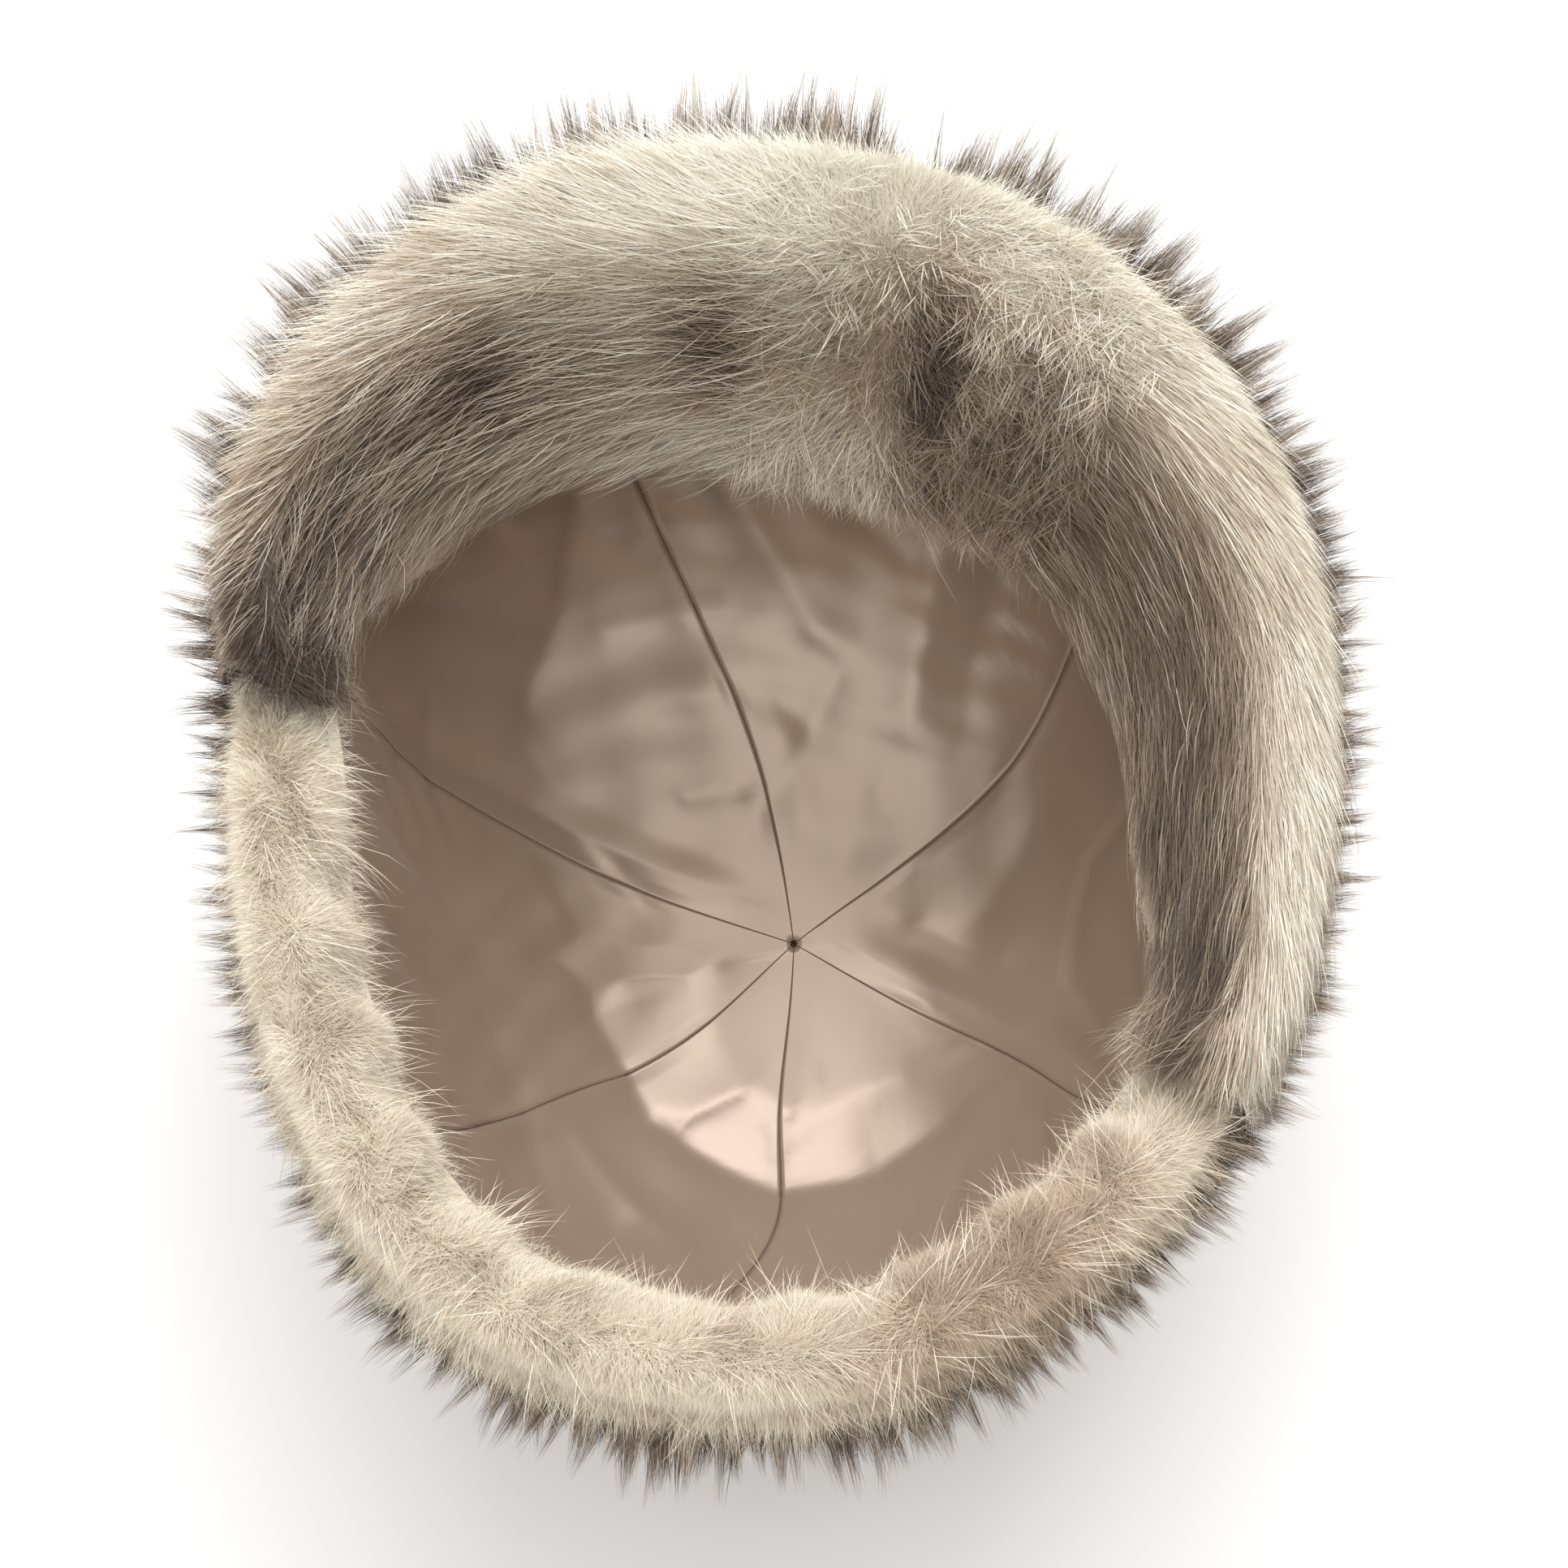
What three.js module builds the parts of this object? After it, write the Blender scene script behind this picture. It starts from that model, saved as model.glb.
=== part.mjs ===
// A mink fur hat lying on its crown, with the head opening upwards.
// Millimetres. +Z up, +Y towards the back of the head, origin under the middle of the hat.
import * as THREE from 'three';

// Heights above the surface that the hat lies on
const LINING_TIP = 18;        // top of the satin at the crown's tip
const SEAT_HEIGHT = 114;      // where the rim and the flap are sewn on
const CREST_HEIGHT = 134;     // top of the fur round the opening

// Thicknesses and gaps
const SATIN = 1.2;
const GAP = 0.3;              // left between touching pieces
const SEAM_GAP = 0.4;         // between two gores
const RIM_WIDTH = 18;         // from the crest inwards to the lining

// The crown's axis, where the six gores meet
const AXIS = { x: 4.6, y: -10.2 };

// Roundness of the dome, 2 for an ellipse and more for a boxier crown
const LINING_ROUNDNESS = 2.5;
const FUR_ROUNDNESS = 2.6;
const FLATTENED = 4;          // how much fur is pressed flat where the hat lies

// The hat seen from above, every 30 degrees from +X: how far the crest lies from the axis,
// and how far the outer fur stands out past the crest
const OUTLINE = [
  { bearing: 0, crest: 95, fringe: 11 },
  { bearing: 30, crest: 105, fringe: 14 },
  { bearing: 60, crest: 119, fringe: 20 },
  { bearing: 90, crest: 127, fringe: 19 },
  { bearing: 120, crest: 129, fringe: 16 },
  { bearing: 150, crest: 117, fringe: 13 },
  { bearing: 180, crest: 101, fringe: 9 },
  { bearing: 210, crest: 105, fringe: 10 },
  { bearing: 240, crest: 116, fringe: 11 },
  { bearing: 270, crest: 114, fringe: 11 },
  { bearing: 300, crest: 104, fringe: 10 },
  { bearing: 330, crest: 97, fringe: 10 },
];

// The bearings of the seams between the gores, in equal steps from the tip to the top edge
const SEAMS = [
  { right_back: 38, back: 97, left: 160, left_front: 225, front: 268, right_front: 328 },
  { right_back: 36, back: 100, left: 161, left_front: 224, front: 265, right_front: 328 },
  { right_back: 37, back: 106, left: 161, left_front: 219, front: 267, right_front: 327 },
  { right_back: 43, back: 110, left: 162, left_front: 219, front: 261, right_front: 322 },
  { right_back: 45, back: 111, left: 162, left_front: 220, front: 262, right_front: 318 },
  { right_back: 46, back: 112, left: 165, left_front: 222, front: 263, right_front: 316 },
];
const GORE_BILLOW = 2.2;      // how far a gore stands into the hat between its seams

// Folds in the lining: the gore that each lies in, its place across and up the gore as shares,
// its half widths there, and how far it stands into the hat
const FOLDS = [
  { gore: 0, across: 0.42, climb: 0.62, wide: 0.16, tall: 0.2, height: 1.6 },
  { gore: 1, across: 0.14, climb: 0.5, wide: 0.1, tall: 0.34, height: -1.2 },
  { gore: 1, across: 0.9, climb: 0.45, wide: 0.08, tall: 0.34, height: 1.6 },
  { gore: 2, across: 0.5, climb: 0.62, wide: 0.2, tall: 0.16, height: 1.4 },
  { gore: 3, across: 0.55, climb: 0.44, wide: 0.22, tall: 0.16, height: 1.6 },
  { gore: 4, across: 0.4, climb: 0.5, wide: 0.2, tall: 0.22, height: 1.5 },
  { gore: 5, across: 0.1, climb: 0.5, wide: 0.08, tall: 0.34, height: 1.6 },
];

// The folded neck flap, from its right end round the back to its left end, in equal steps:
// how far it reaches in from the crest, and how far its inner leaf hangs below the crest
const FLAP_RIGHT_END = -38;
const FLAP_LEFT_END = 169;
const FLAP = [
  { reach: 23, drop: 24 },
  { reach: 31, drop: 46 },
  { reach: 37, drop: 56 },
  { reach: 43, drop: 61 },
  { reach: 47, drop: 62 },
  { reach: 45, drop: 60 },
  { reach: 35, drop: 50 },
  { reach: 22, drop: 22 },
];
const FLAP_BACKING_GAP = 2.4; // room for the lining's folds behind the inner leaf
const FLAP_STAND_OFF = 6;     // how far the leaf's lower edge hangs clear of the lining
const FLAP_LEAST_DEPTH = 2;   // of the inner leaf at the flap's ends
const LEAF_CLEARANCE = 1.2;   // from the lining's edge there
const FUR_PARTING = 80;       // bearing where the flap's fur parts to both sides
const END_GAP = 0.4;          // degrees between the ends of the flap and of the rim
const END_TAPER = 5;          // degrees over which both round off at their ends
const END_SIZE = 0.82;        // their size at the very end

// Fur locks
const LOCK_STEPS = 4;         // mesh steps along each lock
const CROWN_LOCKS = { around: 42, rows: 5, height: 6.5, smallest: 2.5, start: 0.23 };
const FLAP_LOCK_HEIGHT = 3.4;
const RIM_LOCK_HEIGHT = 1.6;

// Mesh steps
const FLAP_STEPS = 58;
const RIM_STEPS = 44;
const GORE_ACROSS = 8;
const LINING_CLIMBS = [0.012, 0.1, 0.2, 0.3, 0.4, 0.5, 0.6, 0.7, 0.8, 0.9, 1];

const { degToRad, clamp, lerp, smoothstep } = THREE.MathUtils;

// A repeatable number from 0 to 1 for each lock
function chance(first, second) {
  const wave = Math.sin(first * 12.9898 + second * 78.233) * 43758.5453;
  return wave - Math.floor(wave);
}

// Reads a column of a table of equal steps with a smooth curve through its rows
function smoothColumn(rows, column, share, closed) {
  const count = rows.length;
  const place = share * (closed ? count : count - 1);
  const start = closed ? Math.floor(place) : clamp(Math.floor(place), 0, count - 2);
  const value = (step) => {
    const row = start + step;
    return rows[closed ? (row + 2 * count) % count : clamp(row, 0, count - 1)][column];
  };
  const t = place - start;
  const [before, here, next, after] = [value(-1), value(0), value(1), value(2)];
  const bend = 2 * before - 5 * here + 4 * next - after;
  const twist = 3 * (here - next) + after - before;
  return here + 0.5 * t * (next - before + t * (bend + t * twist));
}

const outline = (column, bearing) => smoothColumn(OUTLINE, column, ((bearing % 360) + 360) % 360 / 360, true);
const crest = (bearing) => outline('crest', bearing);

function polar(bearing, radius, height) {
  const angle = degToRad(bearing);
  return new THREE.Vector3(AXIS.x + radius * Math.cos(angle), AXIS.y + radius * Math.sin(angle), height);
}

// A dome's section: climb runs from 0 at its tip to 1 at its edge, in nearly even steps
function domeSection(climb, roundness) {
  const up = climb ** (roundness / 2);
  const down = (1 - climb) ** (roundness / 2);
  const angle = up / (up + down) * Math.PI / 2;
  return {
    reach: Math.sin(angle) ** (2 / roundness),
    rise: 1 - Math.max(Math.cos(angle), 0) ** (2 / roundness),
  };
}

function liningPoint(bearing, climb) {
  const { reach, rise } = domeSection(climb, LINING_ROUNDNESS);
  return polar(bearing, (crest(bearing) - RIM_WIDTH) * reach, lerp(LINING_TIP, SEAT_HEIGHT, rise));
}

// The lining's surface moved outwards, away from the head, by a distance
function behindLining(bearing, climb, distance) {
  const step = 0.01;
  const low = clamp(climb - step, 0.001, 1);
  const along = liningPoint(bearing, clamp(climb + step, 0, 1)).sub(liningPoint(bearing, low));
  const around = liningPoint(bearing + 1, Math.max(climb, 0.01)).sub(liningPoint(bearing - 1, Math.max(climb, 0.01)));
  const outwards = around.cross(along).normalize();
  const point = liningPoint(bearing, climb).addScaledVector(outwards, distance);
  point.z = Math.min(point.z, SEAT_HEIGHT);
  return point;
}

function liningRadius(bearing, height) {
  const rise = clamp((height - LINING_TIP) / (SEAT_HEIGHT - LINING_TIP), 0, 1);
  const reach = (1 - (1 - rise) ** LINING_ROUNDNESS) ** (1 / LINING_ROUNDNESS);
  return (crest(bearing) - RIM_WIDTH) * reach;
}

// Builds a closed body from vertices and triangles, turned so that its faces point out
function solid(points, triangles) {
  let volume = 0;
  const normal = new THREE.Vector3();
  for (const [a, b, c] of triangles) {
    volume += points[a].dot(normal.crossVectors(points[b], points[c]));
  }
  const index = triangles.flatMap(([a, b, c]) => (volume > 0 ? [a, b, c] : [a, c, b]));
  const geometry = new THREE.BufferGeometry().setFromPoints(points);
  geometry.setIndex(index);
  geometry.computeVertexNormals();
  return geometry;
}

// Joins closed rings in a row and fills the first and the last. The faces' diagonals lean to
// the left and to the right in turn, so that every lock is pointed evenly.
function ringBody(rings) {
  const around = rings[0].length;
  const points = rings.flat();
  const triangles = [];
  for (let ring = 0; ring < rings.length - 1; ring += 1) {
    for (let i = 0; i < around; i += 1) {
      const next = (i + 1) % around;
      const [a, b] = i % 2
        ? [ring * around + i, ring * around + next]
        : [ring * around + next, ring * around + i];
      const split = [[a, b, b + around], [a, b + around, a + around]];
      triangles.push(...(i % 2 ? split : split.map((corners) => corners.toReversed())));
    }
  }
  for (const [ring, flip] of [[0, true], [rings.length - 1, false]]) {
    const middle = new THREE.Vector3();
    rings[ring].forEach((point) => middle.addScaledVector(point, 1 / around));
    const centre = points.push(middle) - 1;
    for (let i = 0; i < around; i += 1) {
      const [a, b] = [ring * around + i, ring * around + (i + 1) % around];
      triangles.push(flip ? [b, a, centre] : [a, b, centre]);
    }
  }
  return solid(points, triangles);
}

// Joins an inner and an outer sheet of the same grid into one thin body
function sheetBody(inner, outer) {
  const rows = inner.length;
  const columns = inner[0].length;
  const points = [...inner.flat(), ...outer.flat()];
  const at = (row, column, side) => side * rows * columns + row * columns + column;
  const triangles = [];
  const quad = (a, b, c, d) => triangles.push([a, b, c], [a, c, d]);
  for (let row = 0; row < rows - 1; row += 1) {
    for (let column = 0; column < columns - 1; column += 1) {
      const corners = (side) => [
        at(row, column, side), at(row, column + 1, side), at(row + 1, column + 1, side), at(row + 1, column, side),
      ];
      quad(...corners(0));
      quad(...corners(1).reverse());
    }
    quad(at(row, 0, 0), at(row + 1, 0, 0), at(row + 1, 0, 1), at(row, 0, 1));
    quad(at(row + 1, columns - 1, 0), at(row, columns - 1, 0), at(row, columns - 1, 1), at(row + 1, columns - 1, 1));
  }
  for (let column = 0; column < columns - 1; column += 1) {
    quad(at(0, column + 1, 0), at(0, column, 0), at(0, column, 1), at(0, column + 1, 1));
    quad(at(rows - 1, column, 0), at(rows - 1, column + 1, 0), at(rows - 1, column + 1, 1), at(rows - 1, column, 1));
  }
  return solid(points, triangles);
}

// How much of its height a lock has at a step: it rises along its length and drops at its tip,
// and every second column of locks lies half a lock further on
function lockRise(step, column) {
  const place = step + (column % 2) * LOCK_STEPS / 2;
  return (place % LOCK_STEPS) / (LOCK_STEPS - 1);
}

// The crown: pelts sewn into a thick dome, with pointed locks that lie from its tip to the rim
function furCrown() {
  const columns = CROWN_LOCKS.around * 2;
  const bearings = Array.from({ length: columns }, (_, column) => column * 360 / columns);
  const surface = (bearing, climb, lift) => {
    const { reach, rise } = domeSection(climb, FUR_ROUNDNESS);
    const height = Math.max(0, lerp(-FLATTENED, SEAT_HEIGHT, rise) - lift * (1 - rise) ** 2);
    return polar(bearing, (crest(bearing) + 1) * reach + lift * smoothstep(reach, 0.3, 0.8), height);
  };
  const rings = [];
  const steps = CROWN_LOCKS.rows * LOCK_STEPS;
  for (let step = 0; step < steps; step += 1) {
    const share = step / steps;
    const growth = lerp(CROWN_LOCKS.smallest, CROWN_LOCKS.height, share);
    rings.push(bearings.map((bearing, column) => {
      const uneven = 0.6 + 0.8 * chance(column, Math.floor(step / LOCK_STEPS));
      const lift = growth * uneven * lockRise(step, column) * Math.min(step, 1);
      return surface(bearing, lerp(CROWN_LOCKS.start, 1, share), lift);
    }));
  }
  rings.push(bearings.map((bearing, column) => {
    const pointed = column % 2 ? 0.75 + 0.25 * chance(column, 1) : 0.2 + 0.15 * chance(column, 2);
    return polar(bearing, crest(bearing) + outline('fringe', bearing) * pointed, SEAT_HEIGHT + 5 * pointed);
  }));
  rings.push(bearings.map((bearing) => polar(bearing, crest(bearing) + 1, SEAT_HEIGHT)));
  for (const climb of LINING_CLIMBS.toReversed()) {
    rings.push(bearings.map((bearing) => behindLining(bearing, climb, SATIN + GAP)));
  }
  return ringBody(rings);
}

// How far round its end a band of fur is rounded off, from 0 at its end to 1
function endFullness(bearing, start, end) {
  const near = clamp(Math.min(bearing - start, end - bearing) / END_TAPER, 0, 1);
  return lerp(END_SIZE, 1, Math.sqrt(near * (2 - near)));
}

// Sweeps a fur section round part of the rim: each row of the section is a place measured from
// the crest outwards and from the seat upwards, and says how much of a lock it carries
function furBand({ start, end, steps, lockHeight, section, parting }) {
  const rings = [];
  for (let step = 0; step <= steps; step += 1) {
    const bearing = lerp(start, end, step / steps);
    const full = endFullness(bearing, start, end);
    const rows = section(bearing);
    const middle = { out: 0, up: 0 };
    rows.forEach(({ out, up }) => {
      middle.out += out / rows.length;
      middle.up += up / rows.length;
    });
    const fromParting = Math.round(Math.abs(bearing - parting) / ((end - start) / steps));
    rings.push(rows.map(({ out, up, fur }, place) => {
      const uneven = 0.6 + 0.8 * chance(step, place);
      const lift = fur * lockHeight * uneven * (lockRise(fromParting, place) - 0.4);
      const away = new THREE.Vector2(out - middle.out, up - middle.up).normalize();
      const rounded = lerp(-RIM_WIDTH / 2, out, full);
      const clear = up < 0 ? Math.min(rounded, -RIM_WIDTH - LEAF_CLEARANCE) : rounded;
      const radius = crest(bearing) + clear + lift * away.x;
      return polar(bearing, radius, SEAT_HEIGHT + GAP + up * full + lift * away.y);
    }));
  }
  return ringBody(rings);
}

// The front rim: a narrow fur strip rolled over the edge of the crown and of the lining
function frontRim() {
  const top = CREST_HEIGHT - SEAT_HEIGHT - GAP;
  const section = () => [
    { out: 1, up: 0, fur: 0 },
    { out: 2.5, up: top * 0.4, fur: 1 },
    { out: 1.5, up: top * 0.75, fur: 1 },
    { out: -3, up: top * 0.97, fur: 1 },
    { out: -9, up: top, fur: 1 },
    { out: -14.5, up: top * 0.86, fur: 1 },
    { out: -18, up: top * 0.58, fur: 1 },
    { out: -19.5, up: top * 0.25, fur: 1 },
    { out: -18.5, up: 0, fur: 0 },
    { out: -9, up: 0, fur: 0 },
  ];
  return furBand({
    start: FLAP_LEFT_END + END_GAP,
    end: 360 + FLAP_RIGHT_END - END_GAP,
    steps: RIM_STEPS,
    lockHeight: RIM_LOCK_HEIGHT,
    section,
    parting: 250,
  });
}

// The neck flap: a deep fur band folded over the edge, its inner leaf hanging inside the hat
function neckFlap() {
  const top = CREST_HEIGHT - SEAT_HEIGHT - GAP;
  const section = (bearing) => {
    const share = (bearing - FLAP_RIGHT_END) / (FLAP_LEFT_END - FLAP_RIGHT_END);
    const reach = smoothColumn(FLAP, 'reach', share, false);
    const low = top - smoothColumn(FLAP, 'drop', share, false);
    const hang = Math.min(low, -2);
    const wall = (up, clearance) => {
      const clear = liningRadius(bearing, SEAT_HEIGHT + up) - clearance - crest(bearing);
      return Math.max(clear, FLAP_LEAST_DEPTH - reach);
    };
    const edge = wall(hang, FLAP_BACKING_GAP + FLAP_STAND_OFF);
    return [
      { out: 1, up: 0, fur: 0 },
      { out: 3, up: top * 0.4, fur: 1 },
      { out: 2, up: top * 0.78, fur: 1 },
      { out: -4, up: top, fur: 1 },
      { out: -13, up: top * 0.98, fur: 1 },
      { out: -0.5 * reach - 2, up: top * 0.72, fur: 1 },
      { out: -0.76 * reach, up: lerp(top * 0.5, hang, 0.24), fur: 1 },
      { out: -0.93 * reach, up: lerp(top * 0.5, hang, 0.5), fur: 1 },
      { out: -reach, up: lerp(top * 0.5, hang, 0.76), fur: 1 },
      { out: -0.97 * reach, up: hang + 3, fur: 1 },
      { out: lerp(-reach, edge, 0.5), up: hang, fur: 0 },
      { out: edge, up: Math.min(hang + 2, hang * 0.8), fur: 0 },
      { out: wall(hang * 0.5, FLAP_BACKING_GAP + FLAP_STAND_OFF / 3), up: hang * 0.5, fur: 0 },
      { out: wall(0, FLAP_BACKING_GAP), up: 0, fur: 0 },
    ];
  };
  return furBand({
    start: FLAP_RIGHT_END,
    end: FLAP_LEFT_END,
    steps: FLAP_STEPS,
    lockHeight: FLAP_LOCK_HEIGHT,
    section,
    parting: FUR_PARTING,
  });
}

// One gore of the satin lining, between two seams, standing a little into the hat between them
function liningGore(gore) {
  const names = Object.keys(SEAMS[0]);
  const turn = gore + 1 === names.length ? 360 : 0;
  const inner = [];
  const outer = [];
  for (const climb of LINING_CLIMBS) {
    const right = smoothColumn(SEAMS, names[gore], climb, false);
    const left = smoothColumn(SEAMS, names[(gore + 1) % names.length], climb, false) + turn;
    const radius = liningPoint(right, climb).distanceTo(liningPoint(right + 180, climb)) / 2;
    const inset = THREE.MathUtils.radToDeg(SEAM_GAP / 2 / radius);
    const steps = Array.from({ length: GORE_ACROSS + 1 }, (_, column) => column / GORE_ACROSS);
    const relief = (across) => {
      const ends = smoothstep(climb, 0.04, 0.3) * (1 - smoothstep(climb, 0.6, 0.92));
      let height = GORE_BILLOW * Math.sin(Math.PI * across) ** 0.7;
      for (const fold of FOLDS.filter((each) => each.gore === gore)) {
        const offCentre = ((across - fold.across) / fold.wide) ** 2 + ((climb - fold.climb) / fold.tall) ** 2;
        height += fold.height * Math.exp(-offCentre) * Math.min(1, 8 * across * (1 - across));
      }
      return height * ends;
    };
    const at = (across) => lerp(right + inset, left - inset, across);
    inner.push(steps.map((across) => behindLining(at(across), climb, -relief(across))));
    outer.push(steps.map((across) => behindLining(at(across), climb, SATIN - relief(across))));
  }
  return sheetBody(inner, outer);
}

function fur(color) {
  return new THREE.MeshStandardMaterial({ color, roughness: 0.85, metalness: 0 });
}

const hat = new THREE.Group();

function addPiece(name, geometry, material) {
  const piece = new THREE.Mesh(geometry, material);
  piece.name = name;
  hat.add(piece);
}

addPiece('fur_crown', furCrown(), fur(0x9b8672));
addPiece('front_rim', frontRim(), fur(0xdccbb2));
addPiece('neck_flap', neckFlap(), fur(0xb7a48d));
for (let gore = 0; gore < SEAMS.length; gore += 1) {
  const satin = new THREE.MeshStandardMaterial({ color: 0xa58c7a, roughness: 0.4, metalness: 0 });
  addPiece(`lining_gore_${gore + 1}`, liningGore(gore), satin);
}

export default hat;
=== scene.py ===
"""A mink fur hat lying on its crown, seen from above its front edge."""

import math

import bmesh
import bpy
import numpy as np
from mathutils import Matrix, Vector


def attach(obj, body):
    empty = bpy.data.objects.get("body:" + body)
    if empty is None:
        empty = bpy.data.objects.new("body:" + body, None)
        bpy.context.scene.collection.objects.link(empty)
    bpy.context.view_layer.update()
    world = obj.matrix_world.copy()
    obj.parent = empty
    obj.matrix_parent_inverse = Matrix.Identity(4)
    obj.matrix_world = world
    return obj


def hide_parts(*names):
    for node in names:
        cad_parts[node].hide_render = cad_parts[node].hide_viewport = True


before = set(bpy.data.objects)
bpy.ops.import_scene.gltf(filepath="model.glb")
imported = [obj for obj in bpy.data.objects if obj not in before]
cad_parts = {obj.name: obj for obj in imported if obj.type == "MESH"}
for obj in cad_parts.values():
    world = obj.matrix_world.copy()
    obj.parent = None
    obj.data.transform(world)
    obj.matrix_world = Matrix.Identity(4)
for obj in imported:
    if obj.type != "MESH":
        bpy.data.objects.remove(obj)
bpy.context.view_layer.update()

MM = 0.001

# The camera stands over the front edge and looks down into the hat.
LOOK_AT = Vector((2.5, -16.8, 130)) * MM
CAMERA_DISTANCE = 500 * MM
CAMERA_ELEVATION = math.radians(69)
FRAME_PIXELS = 1932
PIXELS_PER_MM = 7             # at the rim
SENSOR_WIDTH = 36             # millimetres

camera_data = bpy.data.cameras.new("camera")
camera_data.sensor_width = SENSOR_WIDTH
camera_data.lens = SENSOR_WIDTH * PIXELS_PER_MM * CAMERA_DISTANCE / MM / FRAME_PIXELS
camera = bpy.data.objects.new("camera", camera_data)
towards_camera = Vector((0, -math.cos(CAMERA_ELEVATION), math.sin(CAMERA_ELEVATION)))
camera.location = LOOK_AT + towards_camera * CAMERA_DISTANCE
camera.rotation_euler = towards_camera.to_track_quat("Z", "Y").to_euler()
bpy.context.collection.objects.link(camera)
bpy.context.scene.camera = camera

# The lining: six gores of taupe satin, cut as long curved triangles and seamed from the crown's
# tip to the edge. The seams pull the satin into small puckers, and it stands a little into the
# hat between them.
AXIS = np.array((4.6, -10.2))  # the upright axis through the crown's tip
LINING_TIP = 18               # heights over the floor
SEAT_HEIGHT = 114
CREST_HEIGHT = 134
RIM_WIDTH = 18
SATIN_THICKNESS = 1.2
SEAM_GAP = 0.2
LINING_ROUNDNESS = 2.5        # 2 is a round dome, and more is fuller
# Every 30 degrees from +X: how far the crest lies from the axis, and the outer fur past it
OUTLINE = {
    "crest": (95, 105, 119, 127, 129, 117, 101, 105, 116, 114, 104, 97),
    "fringe": (12, 16.5, 22.5, 24, 23.5, 19, 11, 9.5, 11, 12, 11, 11),
}
# Each seam's bearings in equal steps from the tip to the edge, anticlockwise from the right
SEAMS = (
    (38, 36, 37, 43, 45, 46),
    (97, 100, 106, 110, 111, 112),
    (160, 161, 161, 162, 162, 165),
    (225, 224, 219, 219, 220, 222),
    (268, 265, 267, 261, 262, 263),
    (328, 328, 327, 322, 318, 316),
)
GORE_STEPS = (60, 84)
TIP_HOLE = 0.006              # where the gores end short of the tip, as a share of the way up
LINING_ARC = 150              # along the lining from the tip to the edge
# In millimetres: how high the satin stands between its seams, and the heights and the lengths of
# each gore's slack folds, of its soft waves and of the puckers at its seams
GORE_BILLOW = 0.8
SLACK = (0.55, 0.6, 0.4, 0.22, 0.26, 0.6)
SLACK_LENGTH = 20
SOFT_HEIGHT, SOFT_LENGTH = 0.45, 42
PUCKER_HEIGHT, PUCKER_LENGTH = 0.16, 4.5
# Beside a gore's first and second seam the satin slopes down to a crease, so many millimetres deep
DIPS = ((0, 0.3), (0, 1.7), (0, 0), (0, 0), (0, 0), (1.6, 0))
DIP_DISTANCE = 6.5            # from the seam to the crease
DIP_RISE = 7                  # from the crease back up
DEEPEST = 3.6                 # crease behind the lining
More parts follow.
